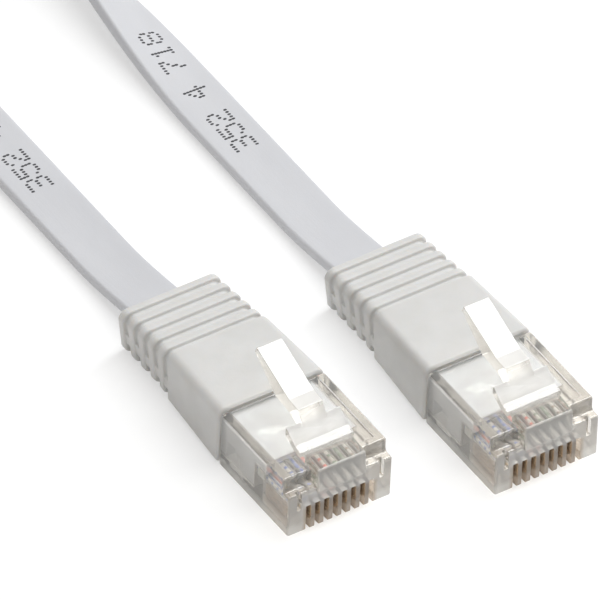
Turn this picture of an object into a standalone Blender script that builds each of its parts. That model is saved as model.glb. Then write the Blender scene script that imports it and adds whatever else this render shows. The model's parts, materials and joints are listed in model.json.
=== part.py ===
"""Flat ethernet patch cable with a modular 8P8C plug on each end.

The cable lies folded in a U on the table plane z = 0. Both plug noses point to -Y
with their latches up. Plug a is at -X and plug b at +X. X runs across the contacts.
Every length below is in millimetres and becomes metres when a mesh is made. Lengths
along Y count from plug a's nose; the cable_frame empty then shifts the whole cable so
that the origin is the bottom centre of its box.
"""

import math

import bmesh
import bpy
from mathutils import Matrix, Vector

MM = 0.001

# Placing of the two plugs and of the cable between their noses
PLUG_SPACING = 20.0
PLUG_STAGGER = 5.2
CABLE_LENGTH = 250.3

# Plug housing, measured from the middle of the nose's bottom edge
CONTACT_PITCH = 1.016
CONTACT_COUNT = 8
PLUG_WIDTH = 11.68
PLUG_HEIGHT = 6.45
NOSE_HEIGHT = 4.93
NOSE_STEP = 1.1
HOUSING_FRONT_LENGTH = 12.0
HOUSING_TAIL_END = 20.6
TAIL_WIDTH = 10.4
TAIL_LOW = 0.45
TAIL_HIGH = 5.95
NOSE_CHAMFER = 0.12
EDGE_BEVEL = 0.2
CAVITY_WIDTH = 9.5
CAVITY_LOW = 1.0
CAVITY_HIGH = 5.45
CAVITY_START = 6.5
LIP_START = 4.6
LIP_LOW = 4.2
CHANNEL_WIDTH = 8.6
CHANNEL_START = 1.3
CHANNEL_LOW = 2.85
CHANNEL_HIGH = 4.0
SLOT_WIDTH = 0.566
SLOT_END = 5.45
PANEL_WIDTH = 9.9
PANEL_START = 1.9
PANEL_DEPTH = 0.3
CRIMP_START = 9.0
CRIMP_END = 11.5
CRIMP_WIDTH = 6.8
GROOVE_X = 4.65
GROOVE_WIDTH = 0.5
GROOVE_DEPTH = 0.6
GROOVE_LOW = 2.9
ROOT_HALF_WIDTH = 2.7
ROOT_OUTLINE = [(-0.37, 4.4), (-0.11, 7.15), (2.4, 7.4), (2.4, 6.2), (1.3, 6.2), (1.3, 4.4)]

# Latch, in the same plug frame; the living hinge line is (LATCH_HINGE_Y, LATCH_HINGE_Z)
LATCH_HINGE_Y = 2.75
LATCH_HINGE_Z = 7.1
PLATE_HALF_WIDTH = 3.05
PLATE_OUTLINE = [(2.55, 6.85), (2.55, 7.36), (3.49, 7.68), (5.2, 8.8), (5.2, 7.75), (3.6, 6.9)]
LEVER_HALF_WIDTH = 1.42
LEVER_OUTLINE = [(3.3, 6.95), (3.3, 7.45), (4.6, 8.35), (5.68, 9.84), (7.22, 9.96),
                 (13.0, 12.14), (13.3, 11.4), (9.5, 8.6), (7.1, 8.4), (5.3, 7.75)]

# Contact blade
BLADE_THICKNESS = 0.35
BLADE_OUTLINE = [(0.95, 0.45), (0.6, 0.8), (0.6, 2.2), (0.95, 2.55), (1.75, 2.55), (2.1, 3.05),
                 (2.45, 2.55), (3.5, 2.55), (3.85, 3.05), (4.2, 2.55), (5.2, 2.55), (5.2, 0.45)]

# Load bar that spaces the eight wires behind the contacts
BAR_WIDTH = 8.4
BAR_START = 5.2
BAR_END = 6.3
BAR_LOW = 2.95
BAR_HIGH = 3.9
BAR_HOLE_RADIUS = 0.37

# White inner mould that holds the flat jacket in the plug
MOULD_WIDTH = 9.3
MOULD_START = 6.65
MOULD_END = 20.4
MOULD_LOW = 1.15
MOULD_HIGH = 5.3
MOULD_LIP_START = 4.75
MOULD_LIP_LOW = 4.3
FAN_WIDTH = 8.0
FAN_LOW = 2.5
FAN_HIGH = 3.95
FAN_END = 9.7
NOTCH_START = 9.1
NOTCH_END = 11.5
NOTCH_HIGH = 3.3
NOTCH_INNER_X = 3.6

# Strain relief boot: flat sleeve, then ribs with grooves between them
BOOT_START = 12.1
BOOT_SLEEVE_END = 21.65
BOOT_END = 30.3
RIB_COUNT = 5
RIB_LENGTH = 0.9
RIB_DEPTH = 0.42
BOOT_HALF_WIDTH_FRONT = 6.02
BOOT_HALF_WIDTH_SLEEVE = 5.65
BOOT_HALF_WIDTH_REAR = 5.6
BOOT_TOP_FRONT = 6.75
BOOT_TOP_SLEEVE = 6.5
BOOT_TOP_FIRST_RIB = 6.3
BOOT_TOP_REAR = 5.2
BOOT_BOTTOM_SLEEVE = 0.3
BOOT_BOTTOM_REAR = 0.08
BOOT_CORNER_TOP = 0.9
BOOT_CORNER_BOTTOM = 0.55
BOOT_LIP = 0.2
SOCKET_GAP = 0.06
WEB_LOW = 1.5
WEB_HIGH = 2.7
WEB_DEPTH = 0.4

# Flat jacket, and the eight insulated wires in it
JACKET_WIDTH = 5.9
JACKET_THICKNESS = 1.2
JACKET_WALL = 0.25
JACKET_CORNER = 0.35
JACKET_START = 9.9
PASSAGE_GAP = 0.12
WIRE_RADIUS = 0.3
WIRE_WALL = 0.12
CORE_RADIUS = 0.12
WIRE_PITCH = 0.64
WIRE_FRONT = 1.5
CORE_FRONT = 1.62
WIRE_LEVEL = 3.4
FAN_TURNS = (6.7, 9.3)

# Line about which a plug end lifts as its flat leg bends, measured behind the nose
FLEX_BEHIND = 46.0

# Cable path: level in the plug, slope down to the table, twist on to its edge, loop
PLUG_LEVEL = 3.0
TABLE_LEVEL = 0.9
SLOPE_START = 22.0
SLOPE_END = 42.0
LEG_STATIONS = (22.0, 26.0, 30.5, 34.0, 38.0, 42.0)
TWIST_START = {"a": 62.0, "b": 52.0}
TWIST_END = 100.0
TWIST_STEPS = 6
LOOP_STEPS = 8

PLUGS = {"a": (-PLUG_SPACING / 2, 0.0), "b": (PLUG_SPACING / 2, -PLUG_STAGGER)}
LOOP_RADIUS = PLUG_SPACING / 2
LOOP_Y = (CABLE_LENGTH - math.pi * LOOP_RADIUS - PLUG_STAGGER) / 2
FOREMOST = -PLUG_STAGGER + ROOT_OUTLINE[0][0]
REARMOST = LOOP_Y + LOOP_RADIUS + JACKET_THICKNESS / 2
ORIGIN_Y = (FOREMOST + REARMOST) / 2

WIRE_COLOURS = ((0.72, 0.78, 0.88), (0.07, 0.17, 0.52), (0.86, 0.66, 0.5), (0.78, 0.2, 0.1),
                (0.68, 0.82, 0.68), (0.1, 0.4, 0.16), (0.74, 0.66, 0.58), (0.3, 0.17, 0.09))


def remove_scene_objects():
    for item in list(bpy.data.objects):
        bpy.data.objects.remove(item, do_unlink=True)


def new_collection(name):
    collection = bpy.data.collections.new(name)
    bpy.context.scene.collection.children.link(collection)
    return collection


remove_scene_objects()
PARTS = new_collection("ethernet_patch_cable")
CUTTERS = new_collection("cutters")
CABLE_FRAME = bpy.data.objects.new("cable_frame", None)
CUTTERS.objects.link(CABLE_FRAME)
CABLE_FRAME.location = (0.0, -ORIGIN_Y * MM, 0.0)


# ---- materials -----------------------------------------------------------------

def material(name, colour, roughness, metallic=0.0, alpha=1.0):
    made = bpy.data.materials.get(name)
    if made:
        return made
    made = bpy.data.materials.new(name)
    made.use_nodes = True
    shader = made.node_tree.nodes["Principled BSDF"]
    shader.inputs["Base Color"].default_value = (*colour, 1.0)
    shader.inputs["Roughness"].default_value = roughness
    shader.inputs["Metallic"].default_value = metallic
    shader.inputs["Alpha"].default_value = alpha
    return made


def clear_plastic():
    return material("clear_plastic", (0.86, 0.85, 0.82), 0.08, alpha=0.35)


def boot_plastic():
    return material("boot_plastic", (0.8, 0.79, 0.77), 0.5)


def mould_plastic():
    return material("mould_plastic", (0.84, 0.84, 0.84), 0.45)


def bar_plastic():
    return material("bar_plastic", (0.78, 0.79, 0.78), 0.35)


def jacket_plastic():
    return material("jacket_plastic", (0.74, 0.76, 0.8), 0.4)


def contact_gold():
    return material("contact_gold", (0.83, 0.62, 0.29), 0.25, metallic=1.0)


def core_copper():
    return material("core_copper", (0.72, 0.42, 0.27), 0.3, metallic=1.0)


def wire_insulation(number):
    return material(f"insulation_{number}", WIRE_COLOURS[number - 1], 0.45)


# ---- shared modelling helpers --------------------------------------------------

def place(name, data, parent=CABLE_FRAME, collection=CUTTERS):
    made = bpy.data.objects.new(name, data)
    collection.objects.link(made)
    made.parent = parent
    return made


def hide_as_guide(item):
    item.hide_render = True
    item.display_type = "WIRE"


def box(name, low, high, parent, collection=CUTTERS):
    """Box between two corners, as a sized cube about its own centre."""
    low = Vector(low) * MM
    high = Vector(high) * MM
    mesh = bpy.data.meshes.new(name)
    form = bmesh.new()
    bmesh.ops.create_cube(form, size=1.0, matrix=Matrix.Diagonal((*(high - low), 1.0)))
    form.to_mesh(mesh)
    form.free()
    made = place(name, mesh, parent, collection)
    made.location = (low + high) / 2
    if collection is CUTTERS:
        hide_as_guide(made)
    return made


def mesh_from_curve(curve_object):
    """Replace a curve object with a welded mesh object of the same name and place."""
    bpy.context.view_layer.update()
    evaluated = curve_object.evaluated_get(bpy.context.evaluated_depsgraph_get())
    mesh = bpy.data.meshes.new_from_object(evaluated)
    form = bmesh.new()
    form.from_mesh(mesh)
    bmesh.ops.remove_doubles(form, verts=form.verts, dist=0.001 * MM)
    bmesh.ops.recalc_face_normals(form, faces=form.faces)
    form.to_mesh(mesh)
    form.free()
    name = curve_object.name
    parent = curve_object.parent
    collection = curve_object.users_collection[0]
    matrix = curve_object.matrix_world.copy()
    data = curve_object.data
    bpy.data.objects.remove(curve_object)
    bpy.data.curves.remove(data)
    made = place(name, mesh, parent, collection)
    made.matrix_world = matrix
    if collection is CUTTERS:
        hide_as_guide(made)
    return made


def prism(name, outline, half_width, parent, collection=CUTTERS, pivot=(0.0, 0.0, 0.0)):
    """Side outline given as (y, z) points, extruded along X on both sides of the pivot."""
    curve = bpy.data.curves.new(name, "CURVE")
    curve.dimensions = "2D"
    curve.fill_mode = "BOTH"
    curve.extrude = half_width * MM
    spline = curve.splines.new("POLY")
    spline.points.add(len(outline) - 1)
    for point, (y, z) in zip(spline.points, outline):
        point.co = ((y - pivot[1]) * MM, (z - pivot[2]) * MM, 0.0, 1.0)
    spline.use_cyclic_u = True
    made = place(name, curve, parent, collection)
    made.rotation_euler = (math.pi / 2, 0.0, math.pi / 2)
    made.location = Vector(pivot) * MM
    return mesh_from_curve(made)


def boolean(target, other, operation):
    step = target.modifiers.new(other.name, "BOOLEAN")
    step.operation = operation
    step.solver = "EXACT"
    step.object = other


def bevel(target, width, segments=1):
    step = target.modifiers.new("rounded_edges", "BEVEL")
    step.width = width * MM
    step.segments = segments
    step.limit_method = "ANGLE"
    step.angle_limit = math.radians(40)


def smoothstep(low, high, value):
    share = min(max((value - low) / (high - low), 0.0), 1.0)
    return share * share * (3.0 - 2.0 * share)


def mix(first, second, share):
    return first + (second - first) * share


def lane(number, pitch):
    """Sideways place of wire or contact 1 to 8, counted from -X."""
    return (number - (CONTACT_COUNT + 1) / 2) * pitch


# ---- cable path ----------------------------------------------------------------

def cable_level(distance):
    """Height of the jacket's middle at a distance behind the plug's nose."""
    return mix(PLUG_LEVEL, TABLE_LEVEL, smoothstep(SLOPE_START, SLOPE_END, distance))


def leg_station(plug, y):
    """Point and roll of the jacket on one leg. The -X edge rises as the cable twists."""
    plug_x, nose_y = PLUGS[plug]
    share = smoothstep(TWIST_START[plug], TWIST_END, y)
    roll = share * math.pi / 2
    half_width = JACKET_WIDTH / 2 - JACKET_CORNER
    half_thickness = JACKET_THICKNESS / 2 - JACKET_CORNER
    rise = half_width * math.sin(roll) + half_thickness * (math.cos(roll) - 1.0)
    level = mix(cable_level(y - nose_y), JACKET_THICKNESS / 2, share)
    return Vector((plug_x, y, level + rise)), roll


def jacket_leg(plug):
    """Stations from the jacket's cut end in the plug to the start of the loop."""
    nose_y = PLUGS[plug][1]
    stations = [leg_station(plug, nose_y + behind) for behind in (JACKET_START, *LEG_STATIONS)]
    for step in range(TWIST_STEPS + 1):
        stations.append(leg_station(plug, mix(TWIST_START[plug], TWIST_END, step / TWIST_STEPS)))
    return stations


def cable_loop():
    """Half circle on edge that joins the two legs."""
    level = JACKET_WIDTH / 2
    stations = []
    for step in range(LOOP_STEPS + 1):
        angle = math.pi * (1.0 - step / LOOP_STEPS)
        point = Vector((LOOP_RADIUS * math.cos(angle), LOOP_Y + LOOP_RADIUS * math.sin(angle), level))
        stations.append((point, math.pi / 2))
    return stations


def cable_stations():
    """Whole path from plug a to plug b; on leg b the roll goes on to a half turn."""
    back = [(point, math.pi - roll) for point, roll in reversed(jacket_leg("b"))]
    return jacket_leg("a") + cable_loop() + back


def side_directions(points, rolls):
    """Unit vector from the jacket's middle to its pin-8 edge at every station."""
    sides = []
    for index, roll in enumerate(rolls):
        before = points[max(index - 1, 0)]
        after = points[min(index + 1, len(points) - 1)]
        heading = (after - before).normalized()
        level_side = heading.cross(Vector((0.0, 0.0, 1.0))).normalized()
        sides.append(Matrix.Rotation(roll, 3, heading) @ level_side)
    return sides


def sweep_curve(name, points, rolls, collection):
    curve = bpy.data.curves.new(name, "CURVE")
    curve.dimensions = "3D"
    curve.twist_mode = "Z_UP"
    spline = curve.splines.new("POLY")
    spline.points.add(len(points) - 1)
    for control, point, roll in zip(spline.points, points, rolls):
        control.co = (*(point * MM), 1.0)
        control.tilt = roll
    return place(name, curve, CABLE_FRAME, collection)


def flat_section(name, width, thickness, radius):
    """Closed outline with rounded corners, used as the swept section of the jacket."""
    curve = bpy.data.curves.new(name, "CURVE")
    curve.dimensions = "2D"
    straight = width / 2 - radius
    rise = thickness / 2 - radius
    corner_steps = 2
    strips = 4
    outline = []
    for side in (1, -1):
        for middle, start in ((rise, 90.0), (-rise, 0.0)):
            for step in range(corner_steps + 1):
                angle = math.radians(start - 90.0 * step / corner_steps)
                outline.append((side * (straight + radius * math.cos(angle)),
                                side * (middle + radius * math.sin(angle))))
        for step in range(1, strips):
            outline.append((side * mix(straight, -straight, step / strips), -side * thickness / 2))
    spline = curve.splines.new("POLY")
    spline.points.add(len(outline) - 1)
    for point, (x, y) in zip(spline.points, outline):
        point.co = (x * MM, y * MM, 0.0, 1.0)
    spline.use_cyclic_u = True
    made = place(name, curve)
    hide_as_guide(made)
    return made


def solidify_inward(target, wall):
    step = target.modifiers.new("wall", "SOLIDIFY")
    step.thickness = wall * MM
    step.offset = -1.0
    step.use_even_offset = True


# ---- cable pieces --------------------------------------------------------------

def cable_jacket():
    points, rolls = zip(*cable_stations())
    made = sweep_curve("cable_jacket", points, rolls, PARTS)
    made.data.bevel_mode = "OBJECT"
    made.data.bevel_object = flat_section("jacket_section", JACKET_WIDTH, JACKET_THICKNESS,
                                         JACKET_CORNER)
    made.data.materials.append(jacket_plastic())
    solidify_inward(made, JACKET_WALL)


def plug_end_points(plug, number, front):
    """Wire from its cut end over the contact back to the jacket."""
    plug_x, nose_y = PLUGS[plug]
    wide = plug_x + lane(number, CONTACT_PITCH)
    narrow = plug_x + lane(number, WIRE_PITCH)
    return [Vector((wide, nose_y + front, WIRE_LEVEL)),
            Vector((wide, nose_y + FAN_TURNS[0], WIRE_LEVEL)),
            Vector((narrow, nose_y + FAN_TURNS[1], PLUG_LEVEL))]


def wire_path(number, front):
    """Points and rolls of one conductor from plug a to plug b."""
    points, rolls = zip(*cable_stations())
    sides = side_directions(points, rolls)
    offset = lane(number, WIRE_PITCH)
    inside = [point + side * offset for point, side in zip(points, sides)]
    first = plug_end_points("a", number, front)
    last = list(reversed(plug_end_points("b", number, front)))
    full_rolls = [0.0] * len(first) + list(rolls) + [math.pi] * len(last)
    return first + inside + last, full_rolls


def wire(number):
    points, rolls = wire_path(number, WIRE_FRONT)
    made = sweep_curve(f"wire_{number}", points, rolls, PARTS)
    made.data.bevel_depth = WIRE_RADIUS * MM
    made.data.bevel_resolution = 1
    made.data.materials.append(wire_insulation(number))
    solidify_inward(made, WIRE_WALL)


def core(number):
    points, rolls = wire_path(number, CORE_FRONT)
    made = sweep_curve(f"core_{number}", points, rolls, PARTS)
    made.data.bevel_depth = CORE_RADIUS * MM
    made.data.bevel_resolution = 0
    made.data.use_fill_caps = True
    made.data.materials.append(core_copper())


# ---- plug pieces ---------------------------------------------------------------

def plug_frame(plug):
    """Empty at the middle of the nose's bottom edge, under an empty on the flex line."""
    x, nose_y = PLUGS[plug]
    flex = place(f"plug_{plug}_flex", None)
    flex.location = Vector((x, nose_y + FLEX_BEHIND, TABLE_LEVEL)) * MM
    frame = place(f"plug_{plug}_frame", None, flex)
    frame.location = Vector((0.0, -FLEX_BEHIND, -TABLE_LEVEL)) * MM
    return frame


def housing_body(plug, frame):
    nose = NOSE_CHAMFER
    outline = [(0.0, nose), (nose, 0.0), (HOUSING_FRONT_LENGTH, 0.0), (HOUSING_FRONT_LENGTH, PLUG_HEIGHT),
               (NOSE_STEP, PLUG_HEIGHT), (NOSE_STEP, NOSE_HEIGHT), (0.0, NOSE_HEIGHT)]
    made = prism(f"plug_housing_{plug}", outline, PLUG_WIDTH / 2, frame, PARTS)
    made.data.materials.append(clear_plastic())
    bevel(made, EDGE_BEVEL)
    return made


def add_tail_and_root(housing, plug, frame):
    half = TAIL_WIDTH / 2
    tail = box(f"tail_{plug}", (-half, HOUSING_FRONT_LENGTH - 0.5, TAIL_LOW),
               (half, HOUSING_TAIL_END, TAIL_HIGH), frame)
    boolean(housing, tail, "UNION")
    root = prism(f"latch_root_{plug}", ROOT_OUTLINE, ROOT_HALF_WIDTH, frame)
    boolean(housing, root, "UNION")


def cut_housing_cavities(housing, plug, frame):
    past = 0.2
    half = CAVITY_WIDTH / 2
    cavity = box(f"cavity_{plug}", (-half, CAVITY_START, CAVITY_LOW),
                 (half, HOUSING_TAIL_END + past, CAVITY_HIGH), frame)
    boolean(housing, cavity, "DIFFERENCE")
    lip = box(f"lip_space_{plug}", (-half, LIP_START, LIP_LOW),
              (half, CAVITY_START + past, CAVITY_HIGH), frame)
    boolean(housing, lip, "DIFFERENCE")
    half = CHANNEL_WIDTH / 2
    channel = box(f"wire_channel_{plug}", (-half, CHANNEL_START, CHANNEL_LOW),
                  (half, CAVITY_START + past, CHANNEL_HIGH), frame)
    boolean(housing, channel, "DIFFERENCE")


def cut_contact_slots(housing, plug, frame):
    past = 0.2
    for number in range(1, CONTACT_COUNT + 1):
        x = lane(number, CONTACT_PITCH)
        slot = box(f"slot_{plug}{number}", (x - SLOT_WIDTH / 2, -past, -past),
                   (x + SLOT_WIDTH / 2, SLOT_END, CHANNEL_LOW + past), frame)
        boolean(housing, slot, "DIFFERENCE")


def cut_outer_reliefs(housing, plug, frame):
    past = 0.2
    panel = box(f"top_panel_{plug}", (-PANEL_WIDTH / 2, PANEL_START, PLUG_HEIGHT - PANEL_DEPTH),
                (PANEL_WIDTH / 2, HOUSING_FRONT_LENGTH + past, PLUG_HEIGHT + past), frame)
    boolean(housing, panel, "DIFFERENCE")
    crimp = box(f"crimp_window_{plug}", (-CRIMP_WIDTH / 2, CRIMP_START, -past),
                (CRIMP_WIDTH / 2, CRIMP_END, CAVITY_LOW + past), frame)
    boolean(housing, crimp, "DIFFERENCE")
    for side in (-1, 1):
        x = side * GROOVE_X
        groove = box(f"nose_groove_{plug}{'l' if side < 0 else 'r'}",
                     (x - GROOVE_WIDTH / 2, -past, GROOVE_LOW),
                     (x + GROOVE_WIDTH / 2, GROOVE_DEPTH, NOSE_HEIGHT + past), frame)
        boolean(housing, groove, "DIFFERENCE")


def plug_housing(plug, frame):
    housing = housing_body(plug, frame)
    add_tail_and_root(housing, plug, frame)
    cut_outer_reliefs(housing, plug, frame)
    cut_housing_cavities(housing, plug, frame)
    cut_contact_slots(housing, plug, frame)


def latch(plug, frame):
    """Wide locking plate and narrow lever, with the origin on the hinge line."""
    pivot = (0.0, LATCH_HINGE_Y, LATCH_HINGE_Z)
    plate = prism(f"latch_{plug}", PLATE_OUTLINE, PLATE_HALF_WIDTH, frame, PARTS, pivot)
    lever = prism(f"latch_lever_{plug}", LEVER_OUTLINE, LEVER_HALF_WIDTH, frame, CUTTERS, pivot)
    boolean(plate, lever, "UNION")
    plate.data.materials.append(clear_plastic())


def contact(plug, number, frame):
    pivot = (lane(number, CONTACT_PITCH), 0.0, 0.0)
    blade = prism(f"contact_{plug}{number}", BLADE_OUTLINE, BLADE_THICKNESS / 2, frame, PARTS, pivot)
    blade.data.materials.append(contact_gold())


def load_bar(plug, frame):
    made = box(f"load_bar_{plug}", (-BAR_WIDTH / 2, BAR_START, BAR_LOW),
               (BAR_WIDTH / 2, BAR_END, BAR_HIGH), frame, PARTS)
    made.data.materials.append(bar_plastic())
    for number in range(1, CONTACT_COUNT + 1):
        mesh = bpy.data.meshes.new(f"bar_hole_{plug}{number}")
        form = bmesh.new()
        bmesh.ops.create_cone(form, cap_ends=True, segments=8, radius1=BAR_HOLE_RADIUS * MM,
                              radius2=BAR_HOLE_RADIUS * MM, depth=2.0 * (BAR_END - BAR_START) * MM)
        form.to_mesh(mesh)
        form.free()
        hole = place(mesh.name, mesh, frame, CUTTERS)
        hole.rotation_euler = (math.pi / 2, 0.0, 0.0)
        hole.location = Vector((lane(number, CONTACT_PITCH), (BAR_START + BAR_END) / 2, WIRE_LEVEL)) * MM
        hide_as_guide(hole)
        boolean(made, hole, "DIFFERENCE")


def jacket_passage(name, plug):
    """Cutter that follows one leg of the jacket with a small gap all round."""
    stations = [leg_station(plug, PLUGS[plug][1] + behind) for behind in (5.0, *LEG_STATIONS[:5])]
    points, rolls = zip(*stations)
    made = sweep_curve(name, points, rolls, CUTTERS)
    made.data.bevel_mode = "OBJECT"
    section = flat_section(f"{name}_section", JACKET_WIDTH + 2 * PASSAGE_GAP,
                           JACKET_THICKNESS + 2 * PASSAGE_GAP, JACKET_CORNER + PASSAGE_GAP)
    made.data.bevel_object = section
    made.data.use_fill_caps = True
    return mesh_from_curve(made)


def inner_mould(plug, frame, passage):
    past = 0.2
    half = MOULD_WIDTH / 2
    made = box(f"inner_mould_{plug}", (-half, MOULD_START, MOULD_LOW),
               (half, MOULD_END, MOULD_HIGH), frame, PARTS)
    made.data.materials.append(mould_plastic())
    lip = box(f"mould_lip_{plug}", (-half, MOULD_LIP_START, MOULD_LIP_LOW),
              (half, MOULD_START + past, MOULD_HIGH), frame)
    boolean(made, lip, "UNION")
    fan = box(f"fan_space_{plug}", (-FAN_WIDTH / 2, MOULD_START - past, FAN_LOW),
              (FAN_WIDTH / 2, FAN_END, FAN_HIGH), frame)
    boolean(made, fan, "DIFFERENCE")
    for side in (-1, 1):
        near = side * NOTCH_INNER_X
        far = side * (half + past)
        notch = box(f"mould_notch_{plug}{'l' if side < 0 else 'r'}",
                    (min(near, far), NOTCH_START, MOULD_LOW - past),
                    (max(near, far), NOTCH_END, NOTCH_HIGH), frame)
        boolean(made, notch, "DIFFERENCE")
    boolean(made, passage, "DIFFERENCE")


def boot_size(y):
    """Half width, bottom and top of the boot's outer skin at a distance behind the nose."""
    if y <= BOOT_SLEEVE_END:
        share = (y - BOOT_START) / (BOOT_SLEEVE_END - BOOT_START)
        return (mix(BOOT_HALF_WIDTH_FRONT, BOOT_HALF_WIDTH_SLEEVE, share),
                mix(0.0, BOOT_BOTTOM_SLEEVE, share), mix(BOOT_TOP_FRONT, BOOT_TOP_SLEEVE, share))
    share = (y - BOOT_SLEEVE_END) / (BOOT_END - BOOT_SLEEVE_END)
    return (mix(BOOT_HALF_WIDTH_SLEEVE, BOOT_HALF_WIDTH_REAR, share),
            mix(BOOT_BOTTOM_SLEEVE, BOOT_BOTTOM_REAR, share), mix(BOOT_TOP_FIRST_RIB, BOOT_TOP_REAR, share))


def boot_stations():
    """(distance behind the nose, inset of the skin) from the front rim to the last rib."""
    stations = [(BOOT_START, BOOT_LIP), (BOOT_START + BOOT_LIP, 0.0), (BOOT_SLEEVE_END, 0.0)]
    pitch = (BOOT_END - BOOT_SLEEVE_END) / RIB_COUNT
    for rib in range(RIB_COUNT):
        rear = BOOT_SLEEVE_END + (rib + 1) * pitch
        front = rear - RIB_LENGTH
        groove_start = rear - pitch
        stations += [(groove_start, RIB_DEPTH), (front, RIB_DEPTH), (front, 0.0), (rear, 0.0)]
    return stations


def rounded_section(y, inset):
    """Three points at each corner of the boot's rounded rectangle, in order about its middle."""
    half, low, high = boot_size(y)
    half -= inset
    low += inset
    high -= inset
    top = BOOT_CORNER_TOP
    bottom = BOOT_CORNER_BOTTOM
    middles = ((half - top, high - top, top, 0.0), (top - half, high - top, top, 90.0),
               (bottom - half, low + bottom, bottom, 180.0), (half - bottom, low + bottom, bottom, 270.0))
    ring = []
    for x, z, radius, start in middles:
        for step in range(3):
            angle = math.radians(start + 45.0 * step)
            ring.append(Vector((x + radius * math.cos(angle), y, z + radius * math.sin(angle))) * MM)
    return ring


def boot_skin(plug, frame):
    """Loft through sections whose width, bottom and top all change, closed at both ends."""
    form = bmesh.new()
    rings = []
    for y, inset in boot_stations():
        rings.append([form.verts.new(point) for point in rounded_section(y, inset)])
    for front, rear in zip(rings, rings[1:]):
        for index in range(len(front)):
            after = (index + 1) % len(front)
            form.faces.new((front[index], front[after], rear[after], rear[index]))
    form.faces.new(rings[0])
    form.faces.new(rings[-1])
    bmesh.ops.recalc_face_normals(form, faces=form.faces)
    mesh = bpy.data.meshes.new(f"boot_{plug}")
    form.to_mesh(mesh)
    form.free()
    made = place(mesh.name, mesh, frame, PARTS)
    made.data.materials.append(boot_plastic())
    return made


def add_boot_webs(boot, plug, frame):
    """Small bridges that tie the ribs together at mid height on both sides."""
    overlap = 0.2
    half = boot_size(BOOT_END)[0] - RIB_DEPTH
    for side in (-1, 1):
        near = side * (half - overlap)
        far = side * (half + WEB_DEPTH - 0.1)
        web = box(f"boot_web_{plug}{'l' if side < 0 else 'r'}",
                  (min(near, far), BOOT_SLEEVE_END - overlap, WEB_LOW),
                  (max(near, far), BOOT_END - overlap, WEB_HIGH), frame)
        boolean(boot, web, "UNION")


def boot(plug, frame, passage):
    made = boot_skin(plug, frame)
    add_boot_webs(made, plug, frame)
    half = TAIL_WIDTH / 2 + SOCKET_GAP
    socket = box(f"boot_socket_{plug}", (-half, BOOT_START - 1.0, TAIL_LOW - SOCKET_GAP),
                 (half, HOUSING_TAIL_END + SOCKET_GAP, TAIL_HIGH + SOCKET_GAP), frame)
    boolean(made, socket, "DIFFERENCE")
    boolean(made, passage, "DIFFERENCE")


def plug_end(plug):
    frame = plug_frame(plug)
    passage = jacket_passage(f"jacket_passage_{plug}", plug)
    plug_housing(plug, frame)
    latch(plug, frame)
    for number in range(1, CONTACT_COUNT + 1):
        contact(plug, number, frame)
    load_bar(plug, frame)
    inner_mould(plug, frame, passage)
    boot(plug, frame, passage)


cable_jacket()
for wire_number in range(1, CONTACT_COUNT + 1):
    wire(wire_number)
    core(wire_number)
for plug_name in PLUGS:
    plug_end(plug_name)
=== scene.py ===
"""Looks of the flat ethernet patch cable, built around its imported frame.

Lengths in this script are millimetres in a plug's own frame: x across the contacts,
y back from the nose, z up from the table. to_frame() turns them into the frame's metres.
"""

import json
import math

import bmesh
import bpy
import numpy as np
from mathutils import Matrix, Vector

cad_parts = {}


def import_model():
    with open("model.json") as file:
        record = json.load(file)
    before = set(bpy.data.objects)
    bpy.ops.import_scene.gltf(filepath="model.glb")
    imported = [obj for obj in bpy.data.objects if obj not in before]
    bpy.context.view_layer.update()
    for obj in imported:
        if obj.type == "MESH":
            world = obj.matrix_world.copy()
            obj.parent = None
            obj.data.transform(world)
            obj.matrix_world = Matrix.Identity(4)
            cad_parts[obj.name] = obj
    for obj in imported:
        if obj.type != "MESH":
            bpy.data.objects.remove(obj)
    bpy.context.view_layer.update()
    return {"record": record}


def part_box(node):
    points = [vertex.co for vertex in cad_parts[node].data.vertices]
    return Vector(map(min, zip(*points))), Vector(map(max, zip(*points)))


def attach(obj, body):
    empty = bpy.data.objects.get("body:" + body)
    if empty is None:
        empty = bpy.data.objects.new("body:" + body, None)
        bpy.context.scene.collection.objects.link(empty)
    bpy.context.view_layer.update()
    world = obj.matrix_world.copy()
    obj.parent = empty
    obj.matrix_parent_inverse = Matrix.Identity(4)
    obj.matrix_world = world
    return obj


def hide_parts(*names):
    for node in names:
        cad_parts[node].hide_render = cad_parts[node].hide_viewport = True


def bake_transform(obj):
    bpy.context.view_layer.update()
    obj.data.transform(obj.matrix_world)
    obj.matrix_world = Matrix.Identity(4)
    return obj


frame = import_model()

MM = 0.001
PAST = 0.2              # how far a cutter runs past the face it opens
EDGE_SEGMENTS = 3
SHARP_ANGLE = 35.0
PLUGS = ("a", "b")
CONTACT_PITCH = 1.016
CONTACT_COUNT = 8

# Clear housing
PLUG_WIDTH = 11.68
PLUG_HEIGHT = 6.45
NOSE_HEIGHT = 4.93
NOSE_STEP = 1.1
BODY_END = 12.0
TAIL_END = 20.6
TAIL_WIDTH = 10.4
TAIL_LOW = 0.45
TAIL_HIGH = 5.95
TAIL_OVERLAP = 0.5      # how far the tail starts inside the body
ROOT_HALF_WIDTH = 2.7
ROOT_OUTLINE = [(-0.33, 4.4), (-0.09, 7.13), (2.36, 7.4), (2.4, 6.1), (1.6, 4.4)]
CAVITY_WIDTH = 9.5
CAVITY_LOW = 1.0
CAVITY_HIGH = 5.45
CAVITY_START = 6.5
LIP_START = 4.6
LIP_LOW = 4.2
CHANNEL_START = 1.3
CHANNEL_RADIUS = 0.41
SLOT_WIDTH = 0.566
SLOT_END = 5.45
SLOT_TOP = 3.1
PANEL_WIDTH = 9.9
PANEL_START = 1.9
PANEL_DEPTH = 0.3
PANEL_CUT_HEIGHT = 0.6
GROOVE_X = 4.65
GROOVE_WIDTH = 0.5
GROOVE_DEPTH = 0.6
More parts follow.
